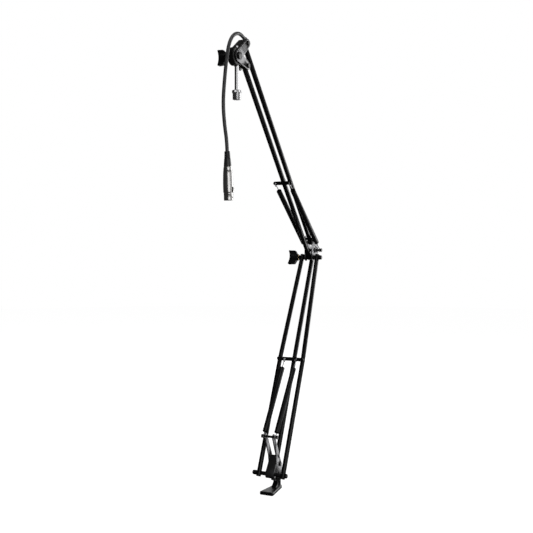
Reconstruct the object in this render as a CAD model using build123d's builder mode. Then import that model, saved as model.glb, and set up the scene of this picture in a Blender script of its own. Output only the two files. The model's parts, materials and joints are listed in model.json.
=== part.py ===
"""Spring-balanced boom microphone stand: two parallelogram arms on a swivelling foot.

Millimetres. +Z is up, +Y runs along the pivot axles and +X points forward, the way the toe and
the head point. The origin is where the vertical swivel axis meets the underside of the foot.
Points in the side plane are (x, z) pairs, and leans are degrees forward of vertical.
"""
import os
from math import atan2, cos, degrees, hypot, pi, radians, sin, tan

from build123d import *

os.makedirs("parts", exist_ok=True)

# ---- driving dimensions ------------------------------------------------------------------
ARM_LENGTH = 500.0
LOWER_LEAN = -25.2
UPPER_LEAN = 42.3
LINK_OFFSET = (-25.0, 17.0)      # lower parallel link, from the main pivots to its own
UPPER_RISE = 43.0                # upper parallel link, straight above the main pivots
BASE_PIVOT = (31.0, 38.0)
MIC_PIVOT_OFFSET = (40.0, 9.5)   # knuckle axis, from the head's lower pivot
SPRING_HORN = (6.0, 80.0)        # lower spring anchor, from the base pivot

TUBE_RADIUS = 5.0
TUBE_BORE = 3.8
TUBE_END = 6.0                   # tube beyond its pivot, rounded to this radius
AXLE_RADIUS = 3.0
FIT = 0.05                       # radial clearance of everything that turns or slides
PLATE_INNER = 7.9                # bracket plates lie between these distances from the centre
PLATE_OUTER = 9.5
WEB = 1.8
LOWER_TUBE_Y = 27.5
ELBOW_TUBE_Y = 18.5
CROSSBAR_AT = 250.0              # lower crossbar, along the arm
UPPER_CROSSBAR_AT = 222.0
BAR_HEIGHT = 8.0
BAR_THICK = 3.0
LOWER_SPRING_Y = 13.5
UPPER_SPRING_Y = 16.4
SLEEVE_RADIUS = 5.5
SLEEVE_BORE = 4.5
WIRE_RADIUS = 0.9
HOOK_RADIUS = 4.0
FOOT_THICK = 7.0
SOCKET_TOP = 26.0
SPIGOT_RADIUS = 5.0
KNUCKLE_RADIUS = 17.0
ROD_RADIUS = 4.0
STUD_RADIUS = 7.94
CABLE_RADIUS = 3.4
XLR_RADIUS = 9.5


def lean_vector(lean):
    """Unit vector in the side plane, leaning forward of vertical."""
    return (sin(radians(lean)), cos(radians(lean)))


def shifted(point, direction, distance=1.0):
    return (point[0] + direction[0] * distance, point[1] + direction[1] * distance)


def at(point, y=0.0):
    """A side-plane point as a point in space."""
    return (point[0], y, point[1])


def lean_of(start, end):
    return degrees(atan2(end[0] - start[0], end[1] - start[1]))


def distance_between(start, end):
    return hypot(end[0] - start[0], end[1] - start[1])


# ---- places worked out from the driving dimensions ---------------------------------------
LOWER_DIR = lean_vector(LOWER_LEAN)
LOWER_FRONT = lean_vector(LOWER_LEAN + 90)
UPPER_DIR = lean_vector(UPPER_LEAN)
UPPER_FRONT = lean_vector(UPPER_LEAN + 90)
ELBOW = shifted(BASE_PIVOT, LOWER_DIR, ARM_LENGTH)
BASE_LINK = shifted(BASE_PIVOT, LINK_OFFSET)
ELBOW_LINK = shifted(ELBOW, LINK_OFFSET)
ELBOW_TOP = shifted(ELBOW, (0, UPPER_RISE))
HEAD_LOWER = shifted(ELBOW, UPPER_DIR, ARM_LENGTH)
HEAD_UPPER = shifted(HEAD_LOWER, (0, UPPER_RISE))
MIC_PIVOT = shifted(HEAD_LOWER, MIC_PIVOT_OFFSET)
HORN = shifted(BASE_PIVOT, SPRING_HORN)
BAR_OFFSET = TUBE_RADIUS + BAR_THICK / 2
HOOK_DROP = 3.0                  # hook ring centre below the bar's middle
LOWER_BAR = shifted(shifted(BASE_PIVOT, LOWER_DIR, CROSSBAR_AT), LOWER_FRONT, BAR_OFFSET)
LOWER_HOOK = shifted(LOWER_BAR, LOWER_DIR, -HOOK_DROP)
UPPER_BAR = shifted(shifted(ELBOW, UPPER_DIR, UPPER_CROSSBAR_AT), UPPER_FRONT, BAR_OFFSET)
UPPER_HOOK = shifted(UPPER_BAR, UPPER_DIR, -HOOK_DROP)


def publish(name, piece):
    """Label one finished piece and write it as its own file."""
    piece.label = name
    export_step(piece, f"parts/{name}.step")


def y_rod(point, radius, y_low, y_high, mode=Mode.ADD):
    """A round rod along Y, added to the part being built."""
    middle = Plane(origin=at(point, (y_low + y_high) / 2), x_dir=(1, 0, 0), z_dir=(0, 1, 0))
    with Locations(middle):
        Cylinder(radius, y_high - y_low, mode=mode)


def strap(*discs):
    """Flat outline stretched round discs, each given as a centre and a radius."""
    with BuildSketch() as outline:
        for centre, radius in discs:
            with Locations(centre):
                Circle(radius)
        make_hull()
    return outline.sketch


def y_washer(point, radius, bore, y_low, y_high):
    """One ring or sleeve round a Y axle."""
    with BuildPart() as ring:
        y_rod(point, radius, y_low, y_high)
        y_rod(point, bore, y_low - 1, y_high + 1, mode=Mode.SUBTRACT)
    return ring.part


def side_bar(start, end, radius, bore=0.0, y=0.0, before=0.0, after=0.0, pivots=(), round_to=TUBE_END):
    """A straight round bar or tube in the side plane, with cross holes and rounded ends at pivots."""
    direction = lean_vector(lean_of(start, end))
    first = shifted(start, direction, -before)
    length = distance_between(start, end) + before + after
    along = Plane(origin=at(first, y), x_dir=(0, 1, 0), z_dir=at(direction))
    with BuildPart() as bar:
        with BuildSketch(along):
            Circle(radius)
            if bore:
                Circle(bore, mode=Mode.SUBTRACT)
        extrude(amount=length)
        for pivot, outward in pivots:
            tip = Plane(origin=at(pivot, y), x_dir=at(lean_vector(outward)), z_dir=(0, 1, 0))
            with BuildSketch(tip.offset(-radius)):
                with Locations((round_to, 0)):
                    Rectangle(round_to * 2, radius * 4)
                Circle(round_to, mode=Mode.SUBTRACT)
            extrude(amount=radius * 2, mode=Mode.SUBTRACT)
            y_rod(pivot, AXLE_RADIUS + FIT, y - radius - 1, y + radius + 1, mode=Mode.SUBTRACT)
    return bar.part


def headed_pin(point, half_length, radius, head_radius, head_thick):
    """A pin along Y with a domed head at each end."""
    with BuildPart() as pin:
        y_rod(point, radius, -half_length - 0.5, half_length + 0.5)
        for side in (-1, 1):
            y_low, y_high = sorted((side * half_length, side * (half_length + head_thick)))
            y_rod(point, head_radius, y_low, y_high)
            rim = pin.edges().filter_by(GeomType.CIRCLE).sort_by(Axis.Y)[-1 if side > 0 else 0]
            fillet(rim, head_thick * 0.45)
    return pin.part


def hook(ring, towards, shank, y_values, gap_lean):
    """Wire hooks: a ring round a pin or bar at each y, and a straight shank."""
    lean = lean_of(ring, towards)
    direction = lean_vector(lean)
    solids = []
    for y in y_values:
        with BuildPart() as wire:
            with Locations(Plane(origin=at(ring, y), x_dir=at(lean_vector(gap_lean)), z_dir=(0, 1, 0))):
                Torus(HOOK_RADIUS, WIRE_RADIUS)
            root = shifted(ring, direction, HOOK_RADIUS)
            with BuildSketch(Plane(origin=at(root, y), x_dir=(0, 1, 0), z_dir=at(direction))):
                Circle(WIRE_RADIUS)
            extrude(amount=shank - HOOK_RADIUS)
        solids.append(wire.part.solid())
    return Compound(children=solids)


def group(solids):
    return Compound(children=[piece.solid() for piece in solids])


# ---- foot and swivel ---------------------------------------------------------------------
TOE_FRONT = 55.0
TOE_REAR = -9.0
SOCKET_RADIUS = 8.0
BUSH_RADIUS = 6.4
SCREW_HEIGHT = 20.0
GROOVE_RADIUS = 4.2
SOCKET_FLOOR = 6.5
THUMB_RADIUS = 2.5
RETAINER_RADIUS = 2.0

with BuildPart() as foot_bracket:
    with BuildSketch() as toe_plan:
        with BuildLine():
            Polyline((TOE_REAR, -8.0), (TOE_FRONT, -15.5), (TOE_FRONT, 15.5), (TOE_REAR, 8.0), close=True)
        make_face()
        fillet(toe_plan.vertices(), 3.0)
    extrude(amount=FOOT_THICK)
    fillet(foot_bracket.edges().group_by(Axis.Z)[-1], 2.4)
    fillet(foot_bracket.edges().group_by(Axis.Z)[0], 1.0)
    with BuildSketch(Plane.XY.offset(FOOT_THICK - 3.0)):
        Circle(SOCKET_RADIUS)
    extrude(amount=SOCKET_TOP - FOOT_THICK + 3.0)
    # gusset that carries the bend from the toe up into the neck
    with BuildSketch(Plane.XZ) as gusset:
        with BuildLine():
            Polyline((5.0, FOOT_THICK - 2), (26.0, FOOT_THICK - 2), (26.0, FOOT_THICK - 0.5), close=False)
            ThreePointArc((26.0, FOOT_THICK - 0.5), (12.0, 11.5), (5.0, 22.0))
            Line((5.0, 22.0), (5.0, FOOT_THICK - 2))
        make_face()
    extrude(amount=5.5, both=True)
    socket_bore = Plane.XY.offset(SOCKET_FLOOR)
    with BuildSketch(socket_bore):
        Circle(BUSH_RADIUS)
    extrude(amount=SOCKET_TOP, mode=Mode.SUBTRACT)
    with Locations(Plane(origin=(0, 0, SCREW_HEIGHT), z_dir=(0, -1, 0))):
        Cylinder(THUMB_RADIUS + FIT, 20, align=(Align.CENTER, Align.CENTER, Align.MIN), mode=Mode.SUBTRACT)
    with Locations(Plane(origin=(0, 0, SCREW_HEIGHT), z_dir=(1, 0, 0))):
        Cylinder(RETAINER_RADIUS + FIT, 20, align=(Align.CENTER, Align.CENTER, Align.MIN), mode=Mode.SUBTRACT)
publish("foot_bracket", foot_bracket.part)

with BuildPart() as swivel_bush:
    with BuildSketch(Plane.XY.offset(SOCKET_FLOOR)):
        Circle(BUSH_RADIUS - FIT)
        Circle(SPIGOT_RADIUS + FIT, mode=Mode.SUBTRACT)
    extrude(amount=SOCKET_TOP - SOCKET_FLOOR)
    for side, screw_radius in (((0, -1, 0), THUMB_RADIUS), ((1, 0, 0), RETAINER_RADIUS)):
        with Locations(Plane(origin=(0, 0, SCREW_HEIGHT), z_dir=side)):
            Cylinder(screw_radius + FIT, 20, align=(Align.CENTER, Align.CENTER, Align.MIN),
                     mode=Mode.SUBTRACT)
publish("swivel_bush", swivel_bush.part)

NECK_BOTTOM = SOCKET_TOP + 1.5
with BuildPart() as swivel_washer:
    with BuildSketch(Plane.XY.offset(SOCKET_TOP)):
        Circle(7.6)
        Circle(SPIGOT_RADIUS + FIT, mode=Mode.SUBTRACT)
    extrude(amount=NECK_BOTTOM - SOCKET_TOP - FIT)
publish("swivel_washer", swivel_washer.part)

SPIGOT_TOP = NECK_BOTTOM + 9.0
with BuildPart() as swivel_spigot:
    with BuildSketch(Plane.XY.offset(SOCKET_FLOOR + 0.5)):
        Circle(SPIGOT_RADIUS)
    extrude(amount=SPIGOT_TOP - SOCKET_FLOOR - 0.5)
    chamfer(swivel_spigot.edges().group_by(Axis.Z)[0], 0.8)
    with BuildSketch(Plane.XY.offset(SCREW_HEIGHT - 3.0)):
        Circle(SPIGOT_RADIUS + 1)
        Circle(GROOVE_RADIUS, mode=Mode.SUBTRACT)
    extrude(amount=6.0, mode=Mode.SUBTRACT)
publish("swivel_spigot", swivel_spigot.part)

with BuildPart() as thumb_screw:
    with Locations(Plane(origin=(0, -GROOVE_RADIUS - 0.3, SCREW_HEIGHT), z_dir=(0, -1, 0))):
        Cylinder(THUMB_RADIUS, 5.0, align=(Align.CENTER, Align.CENTER, Align.MIN))
    with Locations(Plane(origin=(0, -SOCKET_RADIUS - 0.5, SCREW_HEIGHT), z_dir=(0, -1, 0))):
        Cylinder(4.0, 4.2, align=(Align.CENTER, Align.CENTER, Align.MIN))
    fillet(thumb_screw.edges().filter_by(GeomType.CIRCLE).sort_by(Axis.Y)[0], 1.2)
    with Locations((0, -SOCKET_RADIUS - 4.7, SCREW_HEIGHT)):
        Box(5.4, 1.4, 1.2, mode=Mode.SUBTRACT)
publish("thumb_screw", thumb_screw.part)

with BuildPart() as retaining_screw:
    with Locations(Plane(origin=(GROOVE_RADIUS + 0.25, 0, SCREW_HEIGHT), z_dir=(1, 0, 0))):
        Cylinder(RETAINER_RADIUS, 5.0, align=(Align.CENTER, Align.CENTER, Align.MIN))
    with Locations((GROOVE_RADIUS + 5.0, 0, SCREW_HEIGHT)):
        Box(1.2, 0.8, 3.2, mode=Mode.SUBTRACT)
publish("retaining_screw", retaining_screw.part)

# ---- base bracket ------------------------------------------------------------------------
BASE_LOBE = 8.5
LINK_LOBE = 7.5
HORN_RADIUS = 6.0
HORN_ROOT = shifted(BASE_PIVOT, (-13.0, 40.0))
BASE_HEART = shifted(BASE_PIVOT, (-16.0, 22.0))
NECK = (0.0, NECK_BOTTOM + 7.0)
EXTRA_HOLE = shifted(BASE_PIVOT, (-18.0, 33.0))
PIN_RADIUS = 2.5


def base_outline(shift=0.0):
    """Side outline of the base bracket, moved back by a shift."""
    def disc(point, radius):
        return ((point[0] - shift, point[1]), radius)
    pivot, link, heart = disc(BASE_PIVOT, BASE_LOBE), disc(BASE_LINK, LINK_LOBE), disc(BASE_HEART, 8.0)
    root, horn, neck = disc(HORN_ROOT, LINK_LOBE), disc(HORN, HORN_RADIUS), disc(NECK, 7.0)
    return [strap(pivot, link, heart), strap(link, heart, root), strap(root, horn), strap(neck, link, heart)]


with BuildPart() as base_bracket:
    with BuildSketch(Plane.XZ.offset(-PLATE_OUTER)):
        add(base_outline())
    extrude(amount=2 * PLATE_OUTER)
    # the channel between the plates is open at the back; above the web the two horns part
    with BuildSketch(Plane.XZ.offset(-PLATE_INNER)):
        add(base_outline(WEB))
        with Locations((BASE_PIVOT[0] + 5.0, BASE_PIVOT[1] + 70.0)):
            Rectangle(60.0, 60.0)
    extrude(amount=2 * PLATE_INNER, mode=Mode.SUBTRACT)
    with BuildSketch(Plane.XY.offset(NECK_BOTTOM)):
        Circle(PLATE_INNER + 0.4)
    extrude(amount=11.0)
    with BuildSketch(Plane.XY.offset(NECK_BOTTOM)):
        Circle(SPIGOT_RADIUS + 0.01)
    extrude(amount=SPIGOT_TOP - NECK_BOTTOM, mode=Mode.SUBTRACT)
    y_rod(BASE_PIVOT, AXLE_RADIUS + FIT, -20, 20, mode=Mode.SUBTRACT)
    y_rod(BASE_LINK, AXLE_RADIUS + FIT, -20, 20, mode=Mode.SUBTRACT)
    y_rod(HORN, PIN_RADIUS + FIT, -20, 20, mode=Mode.SUBTRACT)
    y_rod(EXTRA_HOLE, 2.2, -20, 20, mode=Mode.SUBTRACT)
publish("base_bracket", base_bracket.part)

AXLE_END = LOWER_TUBE_Y + TUBE_RADIUS
with BuildPart() as base_axle:
    y_rod(BASE_PIVOT, AXLE_RADIUS, -AXLE_END - 6.0, AXLE_END + 3.0)
publish("base_axle", base_axle.part)

base_nuts = []
for nut_low, nut_high in ((-AXLE_END - 9.5, -AXLE_END - 0.3), (AXLE_END + 0.3, AXLE_END + 5.0)):
    with BuildPart() as cap_nut:
        y_rod(BASE_PIVOT, 4.8, nut_low, nut_high)
        outer_end = cap_nut.edges().filter_by(GeomType.CIRCLE).sort_by(Axis.Y)[0 if nut_low < 0 else -1]
        fillet(outer_end, 2.6)
        y_rod(BASE_PIVOT, AXLE_RADIUS, *sorted((0.0, nut_low + 3.5 if nut_low < 0 else AXLE_END + 3.0)),
              mode=Mode.SUBTRACT)
    base_nuts.append(cap_nut.part)
publish("base_cap_nuts", group(base_nuts))

SPACER_RADIUS = 4.2
base_spacers = []
for side in (-1, 1):
    low, high = sorted((side * (PLATE_OUTER + 0.1), side * (LOWER_TUBE_Y - TUBE_RADIUS - 0.2)))
    base_spacers.append(y_washer(BASE_PIVOT, SPACER_RADIUS, AXLE_RADIUS + FIT, low, high))
publish("base_spacers", group(base_spacers))

publish("base_link_bolt", headed_pin(BASE_LINK, PLATE_OUTER, AXLE_RADIUS, 4.6, 2.6))
publish("lower_spring_pin", headed_pin(HORN, LOWER_SPRING_Y + 3.0, PIN_RADIUS, 4.0, 2.0))

# ---- lower arm ---------------------------------------------------------------------------
TUBE_TAIL = 7.0
LOWER_START = shifted(BASE_PIVOT, LOWER_DIR, -TUBE_TAIL)
LOWER_KNEE = shifted(BASE_PIVOT, LOWER_DIR, CROSSBAR_AT)
LOWER_TIP = shifted(ELBOW, LOWER_DIR, TUBE_TAIL)
TAPER = (LOWER_TUBE_Y - ELBOW_TUBE_Y) / (ARM_LENGTH - CROSSBAR_AT)
RIVET_RADIUS = 2.0


def bar_plane(bar, direction, front):
    """Plane on a crossbar: x along Y, y along the arm, z out of the bar's front face."""
    return Plane(origin=at(bar), x_dir=(0, -1, 0), z_dir=at(front))


def outer_tube(side):
    """One long outer tube of the lower arm, bent inwards above the crossbar."""
    tip_y = ELBOW_TUBE_Y - TAPER * TUBE_TAIL
    start = Vector(*at(LOWER_START, side * LOWER_TUBE_Y))
    knee = Vector(*at(LOWER_KNEE, side * LOWER_TUBE_Y))
    tip = Vector(*at(LOWER_TIP, side * tip_y))
    with BuildPart() as tube:
        with BuildLine():
            FilletPolyline(start, knee, tip, radius=400.0)
        with BuildSketch(Plane(origin=start, x_dir=(0, 1, 0), z_dir=knee - start)):
            Circle(TUBE_RADIUS)
            Circle(TUBE_BORE, mode=Mode.SUBTRACT)
        sweep()
        y_low, y_high = sorted((side * (ELBOW_TUBE_Y - 8), side * (LOWER_TUBE_Y + 8)))
        for pivot in (BASE_PIVOT, ELBOW):
            y_rod(pivot, AXLE_RADIUS + FIT, y_low, y_high, mode=Mode.SUBTRACT)
        with Locations(bar_plane(LOWER_BAR, LOWER_DIR, LOWER_FRONT)):
            with Locations((-side * LOWER_TUBE_Y, 0)):
                Cylinder(RIVET_RADIUS + FIT, 40, mode=Mode.SUBTRACT)
    return tube.part


publish("lower_tube_left", outer_tube(1))
publish("lower_tube_right", outer_tube(-1))

PLUG_RADIUS = TUBE_BORE - 0.05
PLUG_DEPTH = 18.0
lower_plugs = []
for side in (-1, 1):
    lower_plugs.append(side_bar(BASE_PIVOT, shifted(BASE_PIVOT, LOWER_DIR, PLUG_DEPTH), PLUG_RADIUS,
                                y=side * LOWER_TUBE_Y, before=TUBE_TAIL,
                                pivots=((BASE_PIVOT, LOWER_LEAN + 180),), round_to=TUBE_TAIL + 2))
    plug_axis = Vector(*at(LOWER_TIP, side * (ELBOW_TUBE_Y - TAPER * TUBE_TAIL)))
    plug_axis -= Vector(*at(LOWER_KNEE, side * LOWER_TUBE_Y))
    top = Vector(*at(LOWER_TIP, side * (ELBOW_TUBE_Y - TAPER * TUBE_TAIL)))
    with BuildPart() as top_plug:
        with BuildSketch(Plane(origin=top, z_dir=plug_axis * -1)):
            Circle(PLUG_RADIUS)
        extrude(amount=TUBE_TAIL + PLUG_DEPTH)
        y_low, y_high = sorted((side * (ELBOW_TUBE_Y - 8), side * (ELBOW_TUBE_Y + 8)))
        y_rod(ELBOW, AXLE_RADIUS + FIT, y_low, y_high, mode=Mode.SUBTRACT)
    lower_plugs.append(top_plug.part)
publish("lower_tube_plugs", group(lower_plugs))


def crossbar(bar, direction, front, half_length, rivets, hook_y):
    """Flat bar across the front of the tubes, with rivet holes and hook holes."""
    with BuildPart() as piece:
        with BuildSketch(bar_plane(bar, direction, front).offset(-BAR_THICK / 2)):
            SlotOverall(2 * half_length, BAR_HEIGHT)
            for rivet in rivets:
                with Locations((rivet, 0)):
                    Circle(RIVET_RADIUS + FIT, mode=Mode.SUBTRACT)
            for side in (-1, 1):
                with Locations((side * hook_y, 0)):
                    Circle(2.1, mode=Mode.SUBTRACT)
        extrude(amount=BAR_THICK)
    return piece.part


def rivet(bar, direction, front, across):
    """Round-headed rivet through a crossbar and the tube behind it."""
    with BuildPart() as piece:
        with Locations(bar_plane(bar, direction, front)):
            with Locations((across, 0, BAR_THICK / 2)):
                Cylinder(3.4, 1.6, align=(Align.CENTER, Align.CENTER, Align.MIN))
                Cylinder(RIVET_RADIUS, BAR_THICK + 2 * TUBE_RADIUS + 0.2,
                         align=(Align.CENTER, Align.CENTER, Align.MAX))
            with Locations((across, 0, -BAR_THICK / 2 - 2 * TUBE_RADIUS - 0.2)):
                Cylinder(3.0, 1.2, align=(Align.CENTER, Align.CENTER, Align.MAX))
    return piece.part


publish("lower_crossbar", crossbar(LOWER_BAR, LOWER_DIR, LOWER_FRONT, LOWER_TUBE_Y + 4.0,
                                   (-LOWER_TUBE_Y, LOWER_TUBE_Y), LOWER_SPRING_Y))
publish("lower_crossbar_rivets", group([rivet(LOWER_BAR, LOWER_DIR, LOWER_FRONT, side * LOWER_TUBE_Y)
                                        for side in (-1, 1)]))


def centre_tube(start, end):
    """A straight tube in the centre plane, with rounded ends on its two pivots."""
    lean = lean_of(start, end)
    ends = ((start, lean + 180), (end, lean))
    return side_bar(start, end, TUBE_RADIUS, TUBE_BORE, before=TUBE_END, after=TUBE_END, pivots=ends)


def centre_plugs(start, end):
    """The two plugs in the ends of a centre tube."""
    lean = lean_of(start, end)
    direction = lean_vector(lean)
    first = side_bar(start, shifted(start, direction, PLUG_DEPTH), PLUG_RADIUS, before=TUBE_END,
                     pivots=((start, lean + 180),))
    second = side_bar(shifted(end, direction, -PLUG_DEPTH), end, PLUG_RADIUS, after=TUBE_END,
                      pivots=((end, lean),))
    return group([first, second])


publish("lower_link_tube", centre_tube(BASE_LINK, ELBOW_LINK))
publish("lower_link_plugs", centre_plugs(BASE_LINK, ELBOW_LINK))

# ---- springs -----------------------------------------------------------------------------
COIL_RADIUS = 4.3
COIL_BORE = 3.2
COIL_INSET = 30.0                # coil end below the sleeve's upper mouth
HOOK_REACH = 12.0                # upper hook's shank inside the sleeve


def spring_set(name, anchor, ring, start, sleeve_end, spring_y):
    """Sleeves, coils and hooks of one pair of springs between an anchor pin and a crossbar."""
    direction = lean_vector(lean_of(anchor, ring))
    low = shifted(anchor, direction, start)
    high = shifted(anchor, direction, sleeve_end)
    coil_low = shifted(low, direction, 3.0)
    coil_high = shifted(high, direction, -COIL_INSET)
    pair = (-spring_y, spring_y)
    publish(f"{name}_spring_sleeves",
            group([side_bar(low, high, SLEEVE_RADIUS, SLEEVE_BORE, y=y) for y in pair]))
    publish(f"{name}_spring_coils",
            group([side_bar(coil_low, coil_high, COIL_RADIUS, COIL_BORE, y=y) for y in pair]))
    publish(f"{name}_spring_bottom_hooks", hook(anchor, ring, start + 8.0, pair, LOWER_LEAN))
    reach = distance_between(anchor, ring) - sleeve_end + HOOK_REACH
    publish(f"{name}_spring_top_hooks", hook(ring, anchor, reach, pair, LOWER_LEAN))
    print(f"{name} springs: {distance_between(anchor, ring):.1f} mm, lean {lean_of(anchor, ring):.1f}")


spring_set("lower", HORN, LOWER_HOOK, 10.0, 161.0, LOWER_SPRING_Y)
spring_set("upper", ELBOW_LINK, UPPER_HOOK, 28.0, 206.0, UPPER_SPRING_Y)

# ---- elbow -------------------------------------------------------------------------------
ELBOW_LOBE = 8.0
SPRING_PIN_HALF = UPPER_SPRING_Y + 2.2
ELBOW_WINDOW = 3.2

with BuildPart() as elbow_bracket:
    corners = ((ELBOW, ELBOW_LOBE), (ELBOW_TOP, ELBOW_LOBE), (ELBOW_LINK, ELBOW_LOBE))
    with BuildSketch(Plane.XZ.offset(-PLATE_OUTER)):
        add(strap(*corners))
        middle = ((ELBOW[0] * 2 + ELBOW_LINK[0]) / 3, (ELBOW[1] + ELBOW_TOP[1] + ELBOW_LINK[1]) / 3)
        with Locations(middle):
            SlotOverall(16.0, 2 * ELBOW_WINDOW, rotation=90, mode=Mode.SUBTRACT)
    extrude(amount=2 * PLATE_OUTER)
    # between the plates only a short web is left, behind the upper pivot
    back_lean = lean_of(ELBOW_LINK, ELBOW_TOP)
    back_middle = shifted(ELBOW_LINK, lean_vector(back_lean), distance_between(ELBOW_LINK, ELBOW_TOP) / 2)
    web_centre = shifted(back_middle, lean_vector(back_lean - 90), ELBOW_LOBE - WEB / 2)
    with BuildSketch(Plane.XZ.offset(-PLATE_INNER)):
        with Locations(middle):
            Rectangle(90.0, 90.0)
        with Locations(web_centre):
            Rectangle(WEB, 13.0, rotation=-back_lean, mode=Mode.SUBTRACT)
    extrude(amount=2 * PLATE_INNER, mode=Mode.SUBTRACT)
    for corner, radius in corners:
        y_rod(corner, AXLE_RADIUS + FIT, -20, 20, mode=Mode.SUBTRACT)
publish("elbow_bracket", elbow_bracket.part)

ELBOW_OUT = ELBOW_TUBE_Y + TUBE_RADIUS + 0.6
ELBOW_KNOB_Y = -ELBOW_OUT - 3.2
with BuildPart() as elbow_axle:
    y_rod(ELBOW, AXLE_RADIUS, ELBOW_KNOB_Y - 11.0, ELBOW_OUT + 3.5)
publish("elbow_axle", elbow_axle.part)

elbow_washers = []
for low, high, radius in ((PLATE_OUTER + 0.1, ELBOW_TUBE_Y - TUBE_RADIUS - 0.4, 5.4),
                          (TUBE_RADIUS + 0.2, PLATE_INNER - 0.1, 5.0),
                          (ELBOW_OUT, ELBOW_OUT + 1.2, 5.6)):
    for side in (-1, 1):
        y_low, y_high = sorted((side * low, side * high))
        elbow_washers.append(y_washer(ELBOW, radius, AXLE_RADIUS + FIT, y_low, y_high))
publish("elbow_washers", group(elbow_washers))

with BuildPart() as elbow_cap_nut:
    y_rod(ELBOW, 5.0, ELBOW_OUT + 1.25, ELBOW_OUT + 6.5)
    fillet(elbow_cap_nut.edges().filter_by(GeomType.CIRCLE).sort_by(Axis.Y)[-1], 2.4)
    y_rod(ELBOW, AXLE_RADIUS, 0.0, ELBOW_OUT + 3.5, mode=Mode.SUBTRACT)
publish("elbow_cap_nut", elbow_cap_nut.part)

publish("elbow_link_bolt", headed_pin(ELBOW_LINK, SPRING_PIN_HALF, PIN_RADIUS + 0.5, 4.4, 2.4))
publish("elbow_top_bolt", headed_pin(ELBOW_TOP, PLATE_OUTER, AXLE_RADIUS, 4.6, 0.9))


def wing_knob(point, inner_y, length, height, turn, thick):
    """Moulded wing knob on a Y axle: round hub, two wings and a hollowed outer edge."""
    wing_plane = Plane(origin=at(point, inner_y), x_dir=(0, -1, 0),
                       z_dir=(-cos(radians(turn)), 0, sin(radians(turn))))
    with BuildPart() as knob:
        y_rod(point, 7.5, inner_y - length * 0.72, inner_y)
        with BuildSketch(wing_plane) as wing:
            with BuildLine():
                Polyline((length, -height / 2), (length * 0.32, -height / 2 + 0.8), (length * 0.12, -6.5),
                         (length * 0.12, 6.5), (length * 0.32, height / 2 - 0.8), (length, height / 2))
                ThreePointArc((length, height / 2), (length * 0.84, 0), (length, -height / 2))
            make_face()
            fillet(wing.vertices().filter_by(lambda corner: abs(corner.Y) > height / 2 - 1.5), 1.5)
        extrude(amount=thick / 2, both=True)
        y_rod(point, 5.0, inner_y - 13.0, inner_y + 1.0, mode=Mode.SUBTRACT)
    return knob.part


INSERT_BORE = AXLE_RADIUS + FIT
publish("elbow_knob", wing_knob(ELBOW, ELBOW_KNOB_Y, 26.0, 33.0, -14.0, 9.0))
publish("elbow_knob_insert", y_washer(ELBOW, 5.0, INSERT_BORE, ELBOW_KNOB_Y - 13.0, ELBOW_KNOB_Y))

# ---- upper arm ---------------------------------------------------------------------------
def cross_drilled(tube_part, bar, direction, front):
    """The front tube with its rivet hole for the crossbar."""
    with BuildPart() as drilled:
        add(tube_part)
        with Locations(bar_plane(bar, direction, front)):
            Cylinder(RIVET_RADIUS + FIT, 40, mode=Mode.SUBTRACT)
    return drilled.part


publish("upper_front_tube", cross_drilled(centre_tube(ELBOW, HEAD_LOWER), UPPER_BAR, UPPER_DIR, UPPER_FRONT))
publish("upper_front_plugs", centre_plugs(ELBOW, HEAD_LOWER))
publish("upper_crossbar", crossbar(UPPER_BAR, UPPER_DIR, UPPER_FRONT, UPPER_SPRING_Y + 5.0, (0,),
                                   UPPER_SPRING_Y))
publish("upper_crossbar_rivet", rivet(UPPER_BAR, UPPER_DIR, UPPER_FRONT, 0))
publish("upper_rear_tube", centre_tube(ELBOW_TOP, HEAD_UPPER))
publish("upper_rear_plugs", centre_plugs(ELBOW_TOP, HEAD_UPPER))

# ---- head --------------------------------------------------------------------------------
HEAD_LOBE = 8.0
VERTEX_LOBE = 11.0
ROD_SWING = 27.0                 # room round the mic pivot for the end of the rod
TUBE_ROOM = TUBE_END + 0.5

with BuildPart() as head_bracket:
    with BuildSketch(Plane.XZ.offset(-PLATE_OUTER)):
        add(strap((HEAD_LOWER, HEAD_LOBE), (MIC_PIVOT, VERTEX_LOBE)))
        add(strap((HEAD_UPPER, HEAD_LOBE), (MIC_PIVOT, VERTEX_LOBE)))
    extrude(amount=2 * PLATE_OUTER)
    # only the upper limb keeps a web along its front edge
    inner_upper = shifted(HEAD_UPPER, (-WEB, -WEB))
    inner_vertex = shifted(MIC_PIVOT, (-WEB, -WEB))
    with BuildSketch(Plane.XZ.offset(-PLATE_INNER)):
        add(strap((inner_upper, HEAD_LOBE), (inner_vertex, VERTEX_LOBE), (HEAD_LOWER, HEAD_LOBE + 1)))
        with Locations(MIC_PIVOT):
            Circle(ROD_SWING)
        with Locations(HEAD_UPPER):
            Circle(TUBE_ROOM)
        with Locations(shifted(HEAD_UPPER, (-19.0, 0.0))):
            Rectangle(40.0, 40.0)
    extrude(amount=2 * PLATE_INNER, mode=Mode.SUBTRACT)
    for pivot in (HEAD_LOWER, HEAD_UPPER, MIC_PIVOT):
        y_rod(pivot, AXLE_RADIUS + FIT, -20, 20, mode=Mode.SUBTRACT)
publish("head_bracket", head_bracket.part)

publish("head_lower_bolt", headed_pin(HEAD_LOWER, PLATE_OUTER, AXLE_RADIUS, 4.6, 2.6))
publish("head_upper_bolt", headed_pin(HEAD_UPPER, PLATE_OUTER, AXLE_RADIUS, 4.6, 2.6))

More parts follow.
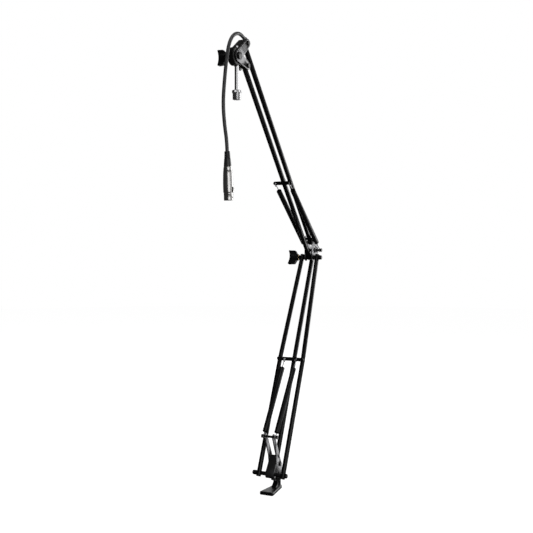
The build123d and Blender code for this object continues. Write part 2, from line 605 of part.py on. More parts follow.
HEAD_KNOB_Y = -16.0
NECK_WASHER_RADIUS = 7.0
with BuildPart() as clamp_bolt:
    y_rod(MIC_PIVOT, AXLE_RADIUS, HEAD_KNOB_Y - 11.0, PLATE_OUTER + 1.0)
    with BuildSketch(Plane.XZ.offset(-PLATE_OUTER - 4.0)):
        with Locations(MIC_PIVOT):
            RegularPolygon(7.2, 6)
    extrude(amount=4.0 - FIT)
publish("clamp_bolt", clamp_bolt.part)
publish("neck_washer", y_washer(MIC_PIVOT, NECK_WASHER_RADIUS, AXLE_RADIUS + FIT,
                                HEAD_KNOB_Y + 0.1, -PLATE_OUTER - FIT))
publish("head_knob", wing_knob(MIC_PIVOT, HEAD_KNOB_Y, 19.0, 30.0, 0.0, 8.5))
publish("head_knob_insert", y_washer(MIC_PIVOT, 5.0, INSERT_BORE, HEAD_KNOB_Y - 13.0, HEAD_KNOB_Y))

# ---- knuckle and microphone rod ----------------------------------------------------------
KNUCKLE_HALF = 6.7
ROD_AXIS = shifted(MIC_PIVOT, (-10.0, 0.0))
ROD_TOP = MIC_PIVOT[1] + KNUCKLE_RADIUS + 5.5
STUD_TOP = MIC_PIVOT[1] - KNUCKLE_RADIUS - 45.0
STUD_LENGTH = 12.5
COLLAR_THICK = 5.5
ROD_DEPTH = 9.5                  # rod's lower end below the top of the collar


def z_rod(point, radius, z_low, z_high, mode=Mode.ADD):
    """A vertical round rod, added to the part being built."""
    with Locations((point[0], 0, (z_low + z_high) / 2)):
        Cylinder(radius, z_high - z_low, mode=mode)


with BuildPart() as knuckle:
    y_rod(MIC_PIVOT, KNUCKLE_RADIUS, -KNUCKLE_HALF, KNUCKLE_HALF)
    fillet(knuckle.edges().filter_by(GeomType.CIRCLE), 1.6)
    y_rod(MIC_PIVOT, AXLE_RADIUS + FIT, -20, 20, mode=Mode.SUBTRACT)
    z_rod(ROD_AXIS, ROD_RADIUS + FIT, MIC_PIVOT[1] - 30, MIC_PIVOT[1] + 30, mode=Mode.SUBTRACT)
publish("knuckle", knuckle.part)

washer_pair = []
for side in (-1, 1):
    y_low, y_high = sorted((side * (KNUCKLE_HALF + 0.02), side * (PLATE_INNER - FIT)))
    washer_pair.append(y_washer(MIC_PIVOT, 10.5, AXLE_RADIUS + FIT, y_low, y_high))
publish("friction_washers", group(washer_pair))

with BuildPart() as mic_rod:
    z_rod(ROD_AXIS, ROD_RADIUS, STUD_TOP - ROD_DEPTH, ROD_TOP)
    fillet(mic_rod.edges().group_by(Axis.Z)[-1], 1.5)
publish("mic_rod", mic_rod.part)

with BuildPart() as thread_end:
    z_rod(ROD_AXIS, STUD_RADIUS, STUD_TOP - COLLAR_THICK - STUD_LENGTH, STUD_TOP - COLLAR_THICK)
    chamfer(thread_end.edges().group_by(Axis.Z)[0], 0.9)
    z_rod(ROD_AXIS, ROD_RADIUS + 0.01, STUD_TOP - ROD_DEPTH, STUD_TOP, mode=Mode.SUBTRACT)
publish("thread_end", thread_end.part)

with BuildPart() as rod_collar:
    z_rod(ROD_AXIS, STUD_RADIUS + 1.0, STUD_TOP - COLLAR_THICK + 0.02, STUD_TOP)
    fillet(rod_collar.edges().group_by(Axis.Z)[-1], 0.8)
    z_rod(ROD_AXIS, ROD_RADIUS + 0.01, STUD_TOP - ROD_DEPTH, STUD_TOP + 1, mode=Mode.SUBTRACT)
publish("rod_collar", rod_collar.part)

# ---- cable and connector -----------------------------------------------------------------
# Route of the cable in the side plane, from the head's saddle to the connector's boot.
CABLE_ROUTE = [(150.6, 912.7), (166.0, 918.3), (185.0, 916.0), (202.5, 906.0), (216.0, 888.0),
               (225.0, 859.6), (233.2, 818.4), (239.2, 774.8), (233.5, 736.0), (224.4, 707.0),
               (223.2, 688.0)]


def corner_radii(route):
    """Arc radius for each corner: 0.45 of the shorter run over the tangent of half the turn."""
    radii = []
    for before, corner, after in zip(route, route[1:], route[2:]):
        run_in = Vector(*corner) - Vector(*before)
        run_out = Vector(*after) - Vector(*corner)
        turn = radians(run_in.get_angle(run_out))
        radii.append(0.45 * min(run_in.length, run_out.length) / tan(turn / 2))
    return radii


route_points = [at(point) for point in CABLE_ROUTE]
route_radii = corner_radii(route_points)
print("cable radii:", [round(radius, 1) for radius in route_radii])
with BuildPart() as xlr_cable:
    with BuildLine() as cable_path:
        FilletPolyline(*route_points, radius=route_radii)
    with BuildSketch(Plane(origin=cable_path.line @ 0, z_dir=cable_path.line % 0)):
        Circle(CABLE_RADIUS)
    sweep()
cable_length = sum(edge.length for edge in cable_path.edges())
cable_volume = pi * CABLE_RADIUS ** 2 * cable_length
print(f"cable {cable_length:.1f} mm, volume {xlr_cable.part.volume:.0f} against {cable_volume:.0f}")
publish("xlr_cable", xlr_cable.part)

CABLE_START = CABLE_ROUTE[0]
EXIT_LEAN = lean_of(CABLE_ROUTE[0], CABLE_ROUTE[1])
saddle_low = shifted(CABLE_START, lean_vector(EXIT_LEAN), -7.0)
with BuildPart() as cable_saddle:
    # a moulded saddle that fills the channel's open top and holds the cable's end
    with BuildSketch(Plane.XZ.offset(-PLATE_INNER + FIT)):
        with Locations(HEAD_UPPER):
            Circle(HEAD_LOBE)
            Circle(TUBE_ROOM, mode=Mode.SUBTRACT)
        with Locations(shifted(HEAD_UPPER, (-7.0, -10.0))):
            Rectangle(50.0, 28.0, rotation=25.0, mode=Mode.SUBTRACT)
        with Locations(shifted(HEAD_UPPER, (10.9, 0.0))):
            Rectangle(20.0, 40.0, mode=Mode.SUBTRACT)
    extrude(amount=2 * (PLATE_INNER - FIT))
    exit_direction = at(lean_vector(EXIT_LEAN))
    with BuildSketch(Plane(origin=at(saddle_low), z_dir=exit_direction)):
        Circle(4.8)
    extrude(amount=7.0)
    with BuildSketch(Plane(origin=at(CABLE_START), z_dir=exit_direction)):
        Circle(CABLE_RADIUS + FIT)
    extrude(amount=20.0, mode=Mode.SUBTRACT)
    y_rod(HEAD_UPPER, TUBE_ROOM, -20, 20, mode=Mode.SUBTRACT)
publish("cable_saddle", cable_saddle.part)

PLUG_LEAN = lean_of(CABLE_ROUTE[-2], CABLE_ROUTE[-1])
PLUG_DIR = lean_vector(PLUG_LEAN)
BOOT_TOP = CABLE_ROUTE[-1]
BOOT_LENGTH = 27.0
SHELL_LENGTH = 64.0
SHELL_TOP = shifted(BOOT_TOP, PLUG_DIR, BOOT_LENGTH)
SHELL_END = shifted(SHELL_TOP, PLUG_DIR, SHELL_LENGTH)


def plug_plane(distance):
    """Plane across the connector at a distance below the top of its boot; x runs along Y."""
    return Plane(origin=at(shifted(BOOT_TOP, PLUG_DIR, distance)), x_dir=(0, 1, 0), z_dir=at(PLUG_DIR))


def plug_turned(profile):
    """A solid of revolution about the connector's axis, from (radius, distance) points."""
    spin_plane = Plane(origin=at(BOOT_TOP), x_dir=(0, 1, 0), z_dir=at(lean_vector(PLUG_LEAN - 90)))
    # local x is the radius; local y must run down the connector
    down = 1.0 if spin_plane.y_dir.dot(Vector(*at(PLUG_DIR))) > 0 else -1.0
    with BuildPart() as turned:
        with BuildSketch(spin_plane):
            with BuildLine():
                Polyline(*[(radius, down * distance) for radius, distance in profile], close=True)
            make_face()
        revolve(axis=Axis(spin_plane.origin, spin_plane.y_dir))
    return turned.part


publish("cable_boot", plug_turned([(0, 0), (4.9, 0), (5.3, 1), (5.8, 9), (6.4, 18), (7.1, BOOT_LENGTH),
                                   (0, BOOT_LENGTH)]))

SHELL_BORE = 8.0
INSERT_DEPTH = 14.0              # insert's front face behind the shell's mouth
with BuildPart() as xlr_shell:
    add(plug_turned([(0, BOOT_LENGTH), (7.1, BOOT_LENGTH), (8.3, BOOT_LENGTH + 8), (9.0, BOOT_LENGTH + 20),
                     (XLR_RADIUS, BOOT_LENGTH + 34), (XLR_RADIUS, BOOT_LENGTH + 48), (8.7, BOOT_LENGTH + 50.5),
                     (8.7, BOOT_LENGTH + SHELL_LENGTH), (0, BOOT_LENGTH + SHELL_LENGTH)]))
    with BuildSketch(plug_plane(BOOT_LENGTH + 30)):
        Circle(SHELL_BORE)
    extrude(amount=SHELL_LENGTH, mode=Mode.SUBTRACT)
    # slot for the latch, in the side that faces +Y
    with BuildSketch(plug_plane(BOOT_LENGTH + 39)):
        with Locations((8.0, 0)):
            Rectangle(8.0, 5.2)
    extrude(amount=20.0, mode=Mode.SUBTRACT)
publish("xlr_shell", xlr_shell.part)

CONTACT_CIRCLE = 4.3
CONTACT_RADIUS = 1.25
with BuildPart() as xlr_insert:
    with BuildSketch(plug_plane(BOOT_LENGTH + 30.1)):
        Circle(6.0)
        with PolarLocations(CONTACT_CIRCLE, 3, start_angle=90):
            Circle(1.9, mode=Mode.SUBTRACT)
    extrude(amount=SHELL_LENGTH - 30.1 - 1.0)
    with BuildSketch(plug_plane(BOOT_LENGTH + 30.1)):
        Circle(SHELL_BORE - FIT)
        with Locations((8.0, 0)):
            Rectangle(8.0, 6.0, mode=Mode.SUBTRACT)
    extrude(amount=5.5)
publish("xlr_insert", xlr_insert.part)

contacts = []
for index in range(3):
    with BuildPart() as contact:
        with BuildSketch(plug_plane(BOOT_LENGTH + 35.7)):
            with PolarLocations(CONTACT_CIRCLE, 1, start_angle=90 + 120 * index):
                Circle(1.85)
                Circle(CONTACT_RADIUS, mode=Mode.SUBTRACT)
        extrude(amount=SHELL_LENGTH - 35.7 - 2.5)
    contacts.append(contact.part)
publish("xlr_contacts", group(contacts))

with BuildPart() as xlr_latch:
    # button that stands proud of the slot, on a thin leg that lies inside the shell
    with BuildSketch(plug_plane(BOOT_LENGTH + 40.5)):
        with Locations((9.5, 0)):
            Rectangle(4.6, 4.6)
    extrude(amount=8.0)
    fillet(xlr_latch.edges().filter_by(Axis.Y).group_by(Axis.Z)[-1], 0.6)
    with BuildSketch(plug_plane(BOOT_LENGTH + 40.5)):
        with Locations((7.6, 0)):
            Rectangle(0.9, 4.6)
    extrude(amount=17.0)
publish("xlr_latch", xlr_latch.part)

for place, point in (("elbow", ELBOW), ("elbow link", ELBOW_LINK), ("elbow top", ELBOW_TOP),
                     ("head lower", HEAD_LOWER), ("head upper", HEAD_UPPER), ("mic pivot", MIC_PIVOT),
                     ("horn", HORN), ("lower hook", LOWER_HOOK), ("upper hook", UPPER_HOOK),
                     ("rod axis", ROD_AXIS), ("shell end", SHELL_END), ("base link", BASE_LINK)):
    print(f"{place}: x {point[0]:.3f}, z {point[1]:.3f}")
print(f"stud from z {STUD_TOP - COLLAR_THICK:.3f} to {STUD_TOP - COLLAR_THICK - STUD_LENGTH:.3f}")
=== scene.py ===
"""Looks of the spring-balanced boom microphone stand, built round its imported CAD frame.

Metres, in the CAD's own frame: +Z up, +Y along the pivot axles, +X forward.
"""
import json
from math import cos, pi, radians, sin

import bmesh
import bpy
from mathutils import Matrix, Vector


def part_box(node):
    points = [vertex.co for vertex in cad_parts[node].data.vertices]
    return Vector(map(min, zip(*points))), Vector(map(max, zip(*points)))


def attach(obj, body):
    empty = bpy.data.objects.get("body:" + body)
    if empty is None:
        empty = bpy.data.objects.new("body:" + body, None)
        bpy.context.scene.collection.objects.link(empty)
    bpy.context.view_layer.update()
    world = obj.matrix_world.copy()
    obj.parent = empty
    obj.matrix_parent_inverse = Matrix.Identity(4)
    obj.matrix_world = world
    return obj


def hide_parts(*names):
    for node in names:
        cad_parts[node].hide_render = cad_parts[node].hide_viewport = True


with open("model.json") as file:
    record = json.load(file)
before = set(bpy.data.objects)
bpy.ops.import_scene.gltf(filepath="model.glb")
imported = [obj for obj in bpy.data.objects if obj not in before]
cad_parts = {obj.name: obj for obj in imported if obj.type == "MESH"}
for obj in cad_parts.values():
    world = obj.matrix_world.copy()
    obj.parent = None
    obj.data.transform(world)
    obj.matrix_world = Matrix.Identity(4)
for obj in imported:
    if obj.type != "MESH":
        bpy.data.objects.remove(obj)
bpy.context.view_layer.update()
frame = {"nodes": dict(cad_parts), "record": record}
NODES = frame["nodes"]
MM = 0.001

# ---- camera ------------------------------------------------------------------------------
CAMERA_PLACE = Vector((1.489, 0.679, 0.495))
CAMERA_YAW = 25.3
CAMERA_PITCH = 0.82
CAMERA_LENS = 52.2


def make_camera():
    yaw, pitch = radians(CAMERA_YAW), radians(CAMERA_PITCH)
    look = Vector((-cos(yaw) * cos(pitch), -sin(yaw) * cos(pitch), -sin(pitch)))
    camera = bpy.data.objects.new("camera", bpy.data.cameras.new("camera"))
    camera.data.lens = CAMERA_LENS
    camera.location = CAMERA_PLACE
    camera.rotation_mode = "QUATERNION"
    camera.rotation_quaternion = look.to_track_quat("-Z", "Y")
    bpy.context.scene.collection.objects.link(camera)
    bpy.context.scene.camera = camera


make_camera()

# ---- materials ---------------------------------------------------------------------------
GRAIN_DETAIL = 3.0
PATCH_DETAIL = 4.0
SCUFF_DETAIL = 6.0
SCUFFS_PER_PATCH = 9.0
SCUFF_COVER = (0.0, 0.5)  # mix of the worn colour, from none to the deepest scuff
SCUFF_RANGE = (0.68, 0.8)  # noise values between which a scuff fades in
GRAIN_HEIGHT = 0.00003
ROUGHNESS_SPREAD = 0.15


class Graph:
    """Small helper that adds nodes to one material and links them."""

    def __init__(self, name):
        self.material = bpy.data.materials.new(name)
        self.material.use_nodes = True
        self.nodes = self.material.node_tree.nodes
        self.links = self.material.node_tree.links
        self.shader = self.nodes["Principled BSDF"]
        self.place = self.nodes.new("ShaderNodeTexCoord").outputs["Object"]

    def link(self, source, target):
        self.links.new(source, target)

    def noise(self, scale, detail):
        noise = self.nodes.new("ShaderNodeTexNoise")
        noise.inputs["Scale"].default_value = scale
        noise.inputs["Detail"].default_value = detail
        self.link(self.place, noise.inputs["Vector"])
        return noise.outputs["Fac"]

    def span(self, source, low, high, from_low=0.3, from_high=0.7):
        ranged = self.nodes.new("ShaderNodeMapRange")
        ranged.inputs["From Min"].default_value = from_low
        ranged.inputs["From Max"].default_value = from_high
        ranged.inputs["To Min"].default_value = low
        ranged.inputs["To Max"].default_value = high
        self.link(source, ranged.inputs["Value"])
        return ranged.outputs["Result"]

    def blend(self, factor, first, second):
        """Mix of two colours; each is a plain tuple or another node's output."""
        mix = self.nodes.new("ShaderNodeMix")
        mix.data_type = "RGBA"
        self.link(factor, mix.inputs["Factor"])
        for value, socket in ((first, mix.inputs["A"]), (second, mix.inputs["B"])):
            if isinstance(value, tuple):
                socket.default_value = (*value, 1.0)
            else:
                self.link(value, socket)
        return mix.outputs["Result"]

    def bump(self, height, strength, distance):
        bump = self.nodes.new("ShaderNodeBump")
        bump.inputs["Strength"].default_value = strength
        bump.inputs["Distance"].default_value = distance
        self.link(height, bump.inputs["Height"])
        self.link(bump.outputs["Normal"], self.shader.inputs["Normal"])


def shade(value, factor):
    return tuple(min(1.0, channel * factor) for channel in value)


def finish_material(name, color, roughness, metallic=0.0, tint=0.2, patch=60.0, grain=1400.0,
                    grain_strength=0.06, specular=0.5, worn=None):
    """A procedural finish: patchy colour and roughness, fine grain, scuffs of the worn colour."""
    graph = Graph(name)
    patches = graph.noise(patch, PATCH_DETAIL)
    color_out = graph.blend(graph.span(patches, 0.0, 1.0), shade(color, 1.0 - tint),
                            shade(color, 1.0 + tint))
    if worn:
        scuffs = graph.noise(patch * SCUFFS_PER_PATCH, SCUFF_DETAIL)
        cover = graph.span(scuffs, *SCUFF_COVER, *SCUFF_RANGE)
        color_out = graph.blend(cover, color_out, worn)
    graph.link(color_out, graph.shader.inputs["Base Color"])
    rough_out = graph.span(patches, roughness * (1 - ROUGHNESS_SPREAD),
                           roughness * (1 + ROUGHNESS_SPREAD))
    graph.link(rough_out, graph.shader.inputs["Roughness"])
    graph.shader.inputs["Metallic"].default_value = metallic
    graph.shader.inputs["Specular IOR Level"].default_value = specular
    graph.bump(graph.noise(grain, GRAIN_DETAIL), grain_strength, GRAIN_HEIGHT)
    return graph.material


MATERIALS = {
    "frame_black": finish_material(
        "powder_black", (0.006, 0.006, 0.0065), 0.30, specular=0.35, worn=(0.06, 0.06, 0.063)),
    "bracket_black": finish_material(
        "black_zinc", (0.15, 0.15, 0.155), 0.34, metallic=0.9, tint=0.12, worn=(0.3, 0.3, 0.3)),
    "fastener_black": finish_material(
        "oxide_black", (0.012, 0.012, 0.013), 0.34, specular=0.4, worn=(0.12, 0.12, 0.12)),
    "bright_steel": finish_material(
        "zinc_bright", (0.62, 0.62, 0.63), 0.3, metallic=1.0, tint=0.08),
    "spring_steel": finish_material(
        "spring_wire", (0.42, 0.42, 0.43), 0.33, metallic=1.0, tint=0.12),
    "sleeve_vinyl": finish_material(
        "sleeve_vinyl", (0.007, 0.007, 0.0075), 0.36, patch=35.0, specular=0.35,
        grain=500.0, grain_strength=0.12),
    "nylon_black": finish_material(
        "nylon_black", (0.012, 0.012, 0.012), 0.5, specular=0.3),
    "knob_plastic": finish_material(
        "knob_plastic", (0.009, 0.009, 0.0095), 0.45, specular=0.3, grain_strength=0.15),
    "brass_insert": finish_material(
        "turned_brass", (0.72, 0.52, 0.25), 0.28, metallic=1.0, tint=0.1),
    "knuckle_black": finish_material(
        "die_cast_black", (0.009, 0.009, 0.0095), 0.4, specular=0.35, worn=(0.08, 0.08, 0.08)),
    "chrome_rod": finish_material(
        "chrome", (0.80, 0.80, 0.81), 0.16, metallic=1.0, tint=0.03, patch=30.0,
        grain=150.0, grain_strength=0.01),
    "cable_rubber": finish_material(
        "cable_jacket", (0.085, 0.085, 0.087), 0.42, patch=45.0, grain_strength=0.08),
    "boot_rubber": finish_material(
        "boot_rubber", (0.04, 0.04, 0.041), 0.3, grain=2000.0),
    "connector_nickel": finish_material(
        "satin_nickel", (0.66, 0.65, 0.64), 0.28, metallic=1.0, tint=0.06,
        grain=150.0, grain_strength=0.01),
    "insert_black": finish_material(
        "insulator_black", (0.016, 0.016, 0.016), 0.45),
    "contact_gold": finish_material(
        "contact_gold", (0.85, 0.62, 0.25), 0.22, metallic=1.0, tint=0.08),
}
SLOT_OF = {row["node"]: row["material_slot"] for row in frame["record"]["subparts"]}

WELD_GAP = 0.000002  # joins the seams that the CAD's faces leave between them
NODE_EDGE = (0.00028, 38.0)  # bevel width, and the angle in degrees from which an edge gets it
SHELL_EDGE = (0.00025, 40.0)


def smooth_faces(mesh):
    for face in mesh.polygons:
        face.use_smooth = True


def soft_edges(piece, width, angle):
    """A fine rounded edge wherever two faces meet at more than an angle in degrees."""
    bevel = piece.modifiers.new("edge", "BEVEL")
    bevel.width = width
    bevel.segments = 2
    bevel.limit_method = "ANGLE"
    bevel.angle_limit = radians(angle)
    bevel.harden_normals = True


def dress_cad_nodes():
    """Every CAD node gets its slot's finish, smooth shading and a fine edge radius."""
    for name, node in NODES.items():
        node.data.materials.clear()
        node.data.materials.append(MATERIALS[SLOT_OF[name]])
        weld = node.modifiers.new("weld", "WELD")
        weld.merge_threshold = WELD_GAP
        soft_edges(node, *NODE_EDGE)
        smooth_faces(node.data)


dress_cad_nodes()

# ---- mesh helpers ------------------------------------------------------------------------


def new_piece(name, mesh, body, slot, *replaced):
    """Link one finished mesh or curve to the scene, on a body, in place of CAD nodes."""
    piece = bpy.data.objects.new(name, mesh)
    bpy.context.scene.collection.objects.link(piece)
    mesh.materials.append(MATERIALS[slot])
    if replaced:
        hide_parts(*replaced)
    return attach(piece, body)


def mesh_of(name, vertices, faces, smooth=True):
    mesh = bpy.data.meshes.new(name)
    mesh.from_pydata([tuple(vertex) for vertex in vertices], [], faces)
    mesh.update()
    if smooth:
        smooth_faces(mesh)
    return mesh


def basic_shape(name, create, **sizes):
    """An object made with one of bmesh's own shapes."""
    mesh = bpy.data.meshes.new(name)
    shape = bmesh.new()
    create(shape, **sizes)
    shape.to_mesh(mesh)
    shape.free()
    item = bpy.data.objects.new(name, mesh)
    bpy.context.scene.collection.objects.link(item)
    return item


def apply_modifiers(piece):
    """Give a piece the mesh that its modifiers make, and drop the modifiers."""
    bpy.context.view_layer.update()
    depsgraph = bpy.context.evaluated_depsgraph_get()
    result = bpy.data.meshes.new_from_object(piece.evaluated_get(depsgraph))
    piece.modifiers.clear()
    piece.data = result


def ring_faces(low, high, steps):
    """Quads between two rings of vertices, given by their first vertices' numbers."""
    faces = []
    for step in range(steps):
        after = (step + 1) % steps
        faces.append((low + step, low + after, high + after, high + step))
    return faces


def axes_about(direction):
    """A direction's unit vector and two across it; the first of these lies along Y if it can."""
    along = Vector(direction).normalized()
    across = Vector((0, 1, 0)) if abs(along.y) < 0.9 else Vector((1, 0, 0))
    across = (across - along * across.dot(along)).normalized()
    return along, across, along.cross(across)


def lathe(name, base, direction, profile, steps):
    """Closed solid of revolution from (distance, radius) points; a zero radius closes an end."""
    along, across, other = axes_about(direction)
    vertices, faces, rings = [], [], []
    for distance, radius in profile:
        centre = Vector(base) + along * distance
        if radius <= 0:
            rings.append([len(vertices)])
            vertices.append(centre)
            continue
        rings.append(list(range(len(vertices), len(vertices) + steps)))
        for step in range(steps):
            angle = 2 * pi * step / steps
            vertices.append(centre + (across * cos(angle) + other * sin(angle)) * radius)
    for low, high in zip(rings, rings[1:]):
        for step in range(steps):
            after = (step + 1) % steps
            if len(low) == 1 and len(high) == 1:
                continue
            if len(low) == 1:
                faces.append((low[0], high[after], high[step]))
            elif len(high) == 1:
                faces.append((low[step], low[after], high[0]))
            else:
                faces.append((low[step], low[after], high[after], high[step]))
    return mesh_of(name, vertices, faces)


# ---- cable and connector -----------------------------------------------------------------
# The same (x, z) route points as the CAD cable's, in metres, in the centre plane.
CABLE_ROUTE = [(0.1506, 0.9127), (0.1660, 0.9183), (0.1850, 0.9160), (0.2025, 0.9060),
               (0.2160, 0.8880), (0.2250, 0.8596), (0.2332, 0.8184), (0.2392, 0.7748),
               (0.2335, 0.7360), (0.2244, 0.7070), (0.2232, 0.6880)]
CABLE_RADIUS = 0.0034


def make_cable():
    curve = bpy.data.curves.new("cable", "CURVE")
    curve.dimensions = "3D"
    spline = curve.splines.new("NURBS")
    spline.points.add(len(CABLE_ROUTE) - 1)
    for point, (x, z) in zip(spline.points, CABLE_ROUTE):
        point.co = (x, 0.0, z, 1.0)
    spline.order_u = 3
    spline.use_endpoint_u = True
    spline.resolution_u = 16
    curve.bevel_depth = CABLE_RADIUS
    curve.bevel_resolution = 8
    curve.use_fill_caps = True
    return new_piece("cable", curve, "head", "cable_rubber", "xlr_cable")


cable = make_cable()
BOOT_TOP = Vector((CABLE_ROUTE[-1][0], 0.0, CABLE_ROUTE[-1][1]))
PLUG_DOWN = (BOOT_TOP - Vector((CABLE_ROUTE[-2][0], 0.0, CABLE_ROUTE[-2][1]))).normalized()

# Outlines of the boot and the shell: distance below the boot's top and radius, in millimetres.
BOOT_START = [(0.0, 0.0), (0.0, 4.5), (0.4, 4.9)]
BOOT_RING = [(0.0, 0.0), (1.2, 0.05), (1.4, -0.6), (2.0, -0.6), (2.2, 0.1)]
BOOT_RING_COUNT = 5
BOOT_FIRST_RING = (1.6, 5.3)
BOOT_RING_STEP = (2.4, 0.14)
BOOT_END = [(15.0, 6.1), (18.0, 6.4), (23.0, 6.8), (26.2, 7.1), (26.8, 7.0), (27.0, 6.7),
            (27.0, 0.0)]
SHELL_OUTLINE = [(27.0, 0.0), (27.0, 6.9), (27.3, 7.1), (29.5, 7.5), (32.0, 7.95), (34.5, 8.25),
                 (35.0, 8.0), (35.7, 8.0), (36.2, 8.4), (41.0, 8.75), (47.0, 9.0), (54.0, 9.3),
                 (61.0, 9.5), (68.0, 9.5), (74.6, 9.5), (75.3, 9.45), (77.3, 8.8), (78.0, 8.7),
                 (81.0, 8.7), (81.3, 8.5), (82.1, 8.5), (82.4, 8.7), (89.6, 8.7), (90.6, 8.55),
                 (91.0, 8.35), (91.0, 8.1), (90.4, 7.95), (58.0, 7.95), (58.0, 0.0)]
BOOT_SIDES, SHELL_SIDES = 48, 72
LATCH_SLOT_SIZE = (0.0062, 0.0052, 0.020)
LATCH_SLOT_DOWN, LATCH_SLOT_OUT = 0.076, 0.0088


def turned(name, outline, sides, slot, replaced):
    """A piece of the connector, turned about the plug's axis."""
    profile = [(distance * MM, radius * MM) for distance, radius in outline]
    mesh = lathe(name, BOOT_TOP, PLUG_DOWN, profile, sides)
    return new_piece(name, mesh, "head", slot, replaced)


def make_boot():
    """Tapered rubber boot with relief rings cut round its slim end."""
    outline = list(BOOT_START)
    for ring in range(BOOT_RING_COUNT):
        start = BOOT_FIRST_RING[0] + ring * BOOT_RING_STEP[0]
        radius = BOOT_FIRST_RING[1] + ring * BOOT_RING_STEP[1]
        outline += [(start + distance, radius + rise) for distance, rise in BOOT_RING]
    return turned("boot", outline + BOOT_END, BOOT_SIDES, "boot_rubber", "cable_boot")


def cut_with_box(piece, centre, size, axes):
    """Cut a box out of a piece; axes are the box's unit vectors."""
    cutter = basic_shape("cutter", bmesh.ops.create_cube, size=1.0)
    rotation = Matrix(axes).transposed().to_4x4()
    cutter.matrix_world = Matrix.Translation(centre) @ rotation @ Matrix.Diagonal((*size, 1.0))
    cut = piece.modifiers.new("cut", "BOOLEAN")
    cut.object = cutter
    cut.operation = "DIFFERENCE"
    cut.solver = "EXACT"
    apply_modifiers(piece)
    bpy.data.objects.remove(cutter)


def make_shell():
    """Barrel-shaped metal shell with two turned grooves and the latch's slot."""
    shell = turned("shell", SHELL_OUTLINE, SHELL_SIDES, "connector_nickel", "xlr_shell")
    side = Vector((0, 1, 0))
    across = PLUG_DOWN.cross(side)
    slot_centre = BOOT_TOP + PLUG_DOWN * LATCH_SLOT_DOWN + side * LATCH_SLOT_OUT
    cut_with_box(shell, slot_centre, LATCH_SLOT_SIZE, (side, across, PLUG_DOWN))
    smooth_faces(shell.data)
    soft_edges(shell, *SHELL_EDGE)
    return shell


boot = make_boot()
shell = make_shell()

# ---- microphone thread -------------------------------------------------------------------
THREAD_PITCH = 0.000941
THREAD_DEPTH = 0.00052
THREAD_LEAD_IN = 0.0012  # height over which the thread's first turn comes up to its full radius
THREAD_LEAD_DEPTH = 0.0012
THREAD_LEAD_START = 0.25
THREAD_SIDES, ROWS_PER_TURN = 64, 6


def make_thread():
    """Threaded end: a helical ridge on a turned blank, 27 threads to the inch."""
    low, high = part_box("thread_end")
    centre = (low + high) / 2
    outer = (high.x - low.x) / 2
    length = high.z - low.z
    rows = int(length / THREAD_PITCH * ROWS_PER_TURN)
    vertices, faces = [], []
    for row in range(rows + 1):
        height = length * row / rows
        taper = min(1.0, height / THREAD_LEAD_IN + THREAD_LEAD_START)
        for step in range(THREAD_SIDES):
            turn = step / THREAD_SIDES
            phase = (height / THREAD_PITCH - turn) % 1.0
            ridge = abs(2 * phase - 1)
            radius = outer - THREAD_DEPTH * (1 - ridge) - (1 - taper) * THREAD_LEAD_DEPTH
            angle = 2 * pi * turn
            vertices.append((centre.x + radius * cos(angle), centre.y + radius * sin(angle),
                             low.z + height))
    for row in range(rows):
        faces += ring_faces(row * THREAD_SIDES, (row + 1) * THREAD_SIDES, THREAD_SIDES)
    faces.append(tuple(range(THREAD_SIDES))[::-1])
    faces.append(tuple(range(rows * THREAD_SIDES, (rows + 1) * THREAD_SIDES)))
    return new_piece("stud_thread", mesh_of("stud_thread", vertices, faces), "mic_stud",
                     "chrome_rod", "thread_end")


make_thread()

COLLAR_SIDES, SIDES_PER_RIB = 160, 4
KNURL_DEPTH = 0.00035
COLLAR_RIM = 0.0008
COLLAR_CHAMFER = 0.0004
COLLAR_BORE = 0.00402
KNURL_FADE = 0.0003  # height over which the knurl comes up from the plain rim
TOP_CORNER_DOWN = (0.0005, 0.0001)  # start and end of the top chamfer, below the top
TOP_FACE_IN = 0.0009


def make_collar():
    """Collar over the thread, with a knurled band between plain rims."""
    low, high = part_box("rod_collar")
    centre, outer = (low + high) / 2, (high.x - low.x) / 2
    height = high.z - low.z
    # Each row is a level, a radius, and 1 where the knurl is cut.
    rows = [(0.0, outer - COLLAR_CHAMFER, 0), (COLLAR_CHAMFER, outer, 0), (COLLAR_RIM, outer, 0),
            (COLLAR_RIM + KNURL_FADE, outer, 1), (height - COLLAR_RIM - KNURL_FADE, outer, 1),
            (height - COLLAR_RIM, outer, 0), (height - TOP_CORNER_DOWN[0], outer, 0),
            (height - TOP_CORNER_DOWN[1], outer - COLLAR_CHAMFER, 0),
            (height, outer - TOP_FACE_IN, 0), (height, COLLAR_BORE, 0), (0.0, COLLAR_BORE, 0)]
    vertices, faces = [], []
    for level, radius, knurled in rows:
        for step in range(COLLAR_SIDES):
            ridge = abs(2 * ((step % SIDES_PER_RIB) / SIDES_PER_RIB) - 1)
            reach = radius - KNURL_DEPTH * (1 - ridge) * knurled
            angle = 2 * pi * step / COLLAR_SIDES
            vertices.append((centre.x + reach * cos(angle), centre.y + reach * sin(angle),
                             low.z + level))
    for row in range(len(rows)):
        after = (row + 1) % len(rows)
        faces += ring_faces(row * COLLAR_SIDES, after * COLLAR_SIDES, COLLAR_SIDES)
    collar_mesh = mesh_of("collar", vertices, faces, smooth=False)
    return new_piece("collar", collar_mesh, "mic_stud", "chrome_rod", "rod_collar")


make_collar()

# ---- moulded and cast pieces -------------------------------------------------------------
SMOOTHING = 0.5
PLATE_VOXEL, CAST_VOXEL = 0.0005, 0.0004


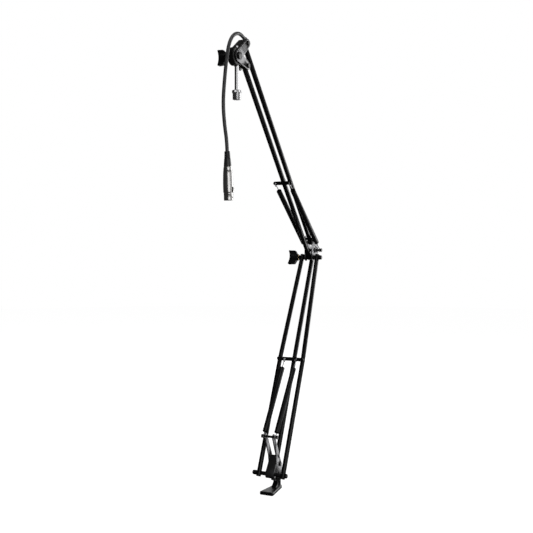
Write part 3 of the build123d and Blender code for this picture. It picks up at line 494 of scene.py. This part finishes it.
def moulded(name, node, body, voxel, rounds):
    """A CAD node's shape, remeshed and smoothed so that its edges run together as in a casting."""
    source = NODES[node]
    bpy.context.view_layer.update()
    shape = source.data.copy()
    shape.transform(source.matrix_world)
    shape.materials.clear()
    piece = new_piece(name, shape, body, SLOT_OF[node], node)
    remesh = piece.modifiers.new("remesh", "REMESH")
    remesh.mode = "VOXEL"
    remesh.voxel_size = voxel
    remesh.use_smooth_shade = True
    smooth = piece.modifiers.new("smooth", "SMOOTH")
    smooth.factor = SMOOTHING
    smooth.iterations = rounds
    apply_modifiers(piece)
    if not piece.data.materials:
        piece.data.materials.append(MATERIALS[SLOT_OF[node]])
    return piece


moulded("foot", "foot_bracket", "foot", PLATE_VOXEL, rounds=8)
moulded("elbow_wing_knob", "elbow_knob", "elbow_handle", CAST_VOXEL, rounds=8)
moulded("head_wing_knob", "head_knob", "head_handle", CAST_VOXEL, rounds=8)
moulded("mic_knuckle_drum", "knuckle", "mic_knuckle", CAST_VOXEL, rounds=4)

# ---- stage -------------------------------------------------------------------------------
FLOOR_RADIUS, SURROUND_RADIUS = 6.0, 9.0
FLOOR_COLOR, FLOOR_GLOW = (0.5, 0.5, 0.5), 0.975
SURROUND_COLOR, SURROUND_GLOW = (0.0, 0.0, 0.0), 1.0
STAGE_ROUGHNESS = 0.9
WORLD_LIGHT = 0.03


def stage_material(name, color, glow):
    graph = Graph(name)
    graph.shader.inputs["Base Color"].default_value = (*color, 1.0)
    graph.shader.inputs["Roughness"].default_value = STAGE_ROUGHNESS
    graph.shader.inputs["Specular IOR Level"].default_value = 0.0
    graph.shader.inputs["Emission Color"].default_value = (1.0, 1.0, 1.0, 1.0)
    graph.shader.inputs["Emission Strength"].default_value = glow
    return graph.material


def make_stage():
    """A pale floor under the foot, in a white surround; both are seen by the camera alone."""
    floor = basic_shape("floor", bmesh.ops.create_circle, cap_ends=True, segments=96,
                        radius=FLOOR_RADIUS)
    floor.data.materials.append(stage_material("floor_pale", FLOOR_COLOR, FLOOR_GLOW))
    surround = basic_shape("surround", bmesh.ops.create_uvsphere, u_segments=48, v_segments=24,
                           radius=SURROUND_RADIUS)
    surround.data.materials.append(
        stage_material("surround_white", SURROUND_COLOR, SURROUND_GLOW))
    for item in (floor, surround):
        item.visible_diffuse = False
        item.visible_glossy = False
        item.visible_shadow = False


# Each softbox: name, place, point it is aimed at, width, height and power in watts.
SOFTBOXES = [
    ("right_rear", (-2.1, 1.15, 0.6), (0, 0, 0.5), 1.5, 2.4, 32.0),
    ("right_side", (-0.2, 2.6, 0.7), (0, 0, 0.5), 1.4, 2.4, 7.0),
    ("right_front", (2.0, 2.1, 0.8), (0, 0, 0.5), 2.2, 2.2, 22.0),
    ("rear", (-1.9, -0.9, 0.75), (0, 0, 0.1), 1.3, 1.2, 4.5),
    ("top", (0.2, 0.1, 2.6), (0, 0, 0.4), 1.2, 1.2, 6.0),
]


def make_softbox(name, place, aim, width, height, power):
    light = bpy.data.lights.new(name, "AREA")
    light.shape = "RECTANGLE"
    light.size, light.size_y = width, height
    light.energy = power
    lamp = bpy.data.objects.new(name, light)
    lamp.location = place
    lamp.rotation_mode = "QUATERNION"
    lamp.rotation_quaternion = (Vector(aim) - Vector(place)).to_track_quat("-Z", "Y")
    bpy.context.scene.collection.objects.link(lamp)


def make_light():
    """Large softboxes to the camera's right, behind and above, and little light from its left."""
    world = bpy.data.worlds.new("studio")
    world.use_nodes = True
    background = world.node_tree.nodes["Background"]
    background.inputs["Color"].default_value = (1.0, 1.0, 1.0, 1.0)
    background.inputs["Strength"].default_value = WORLD_LIGHT
    bpy.context.scene.world = world
    for row in SOFTBOXES:
        make_softbox(*row)
    bpy.context.scene.view_settings.view_transform = "Standard"


make_stage()
make_light()
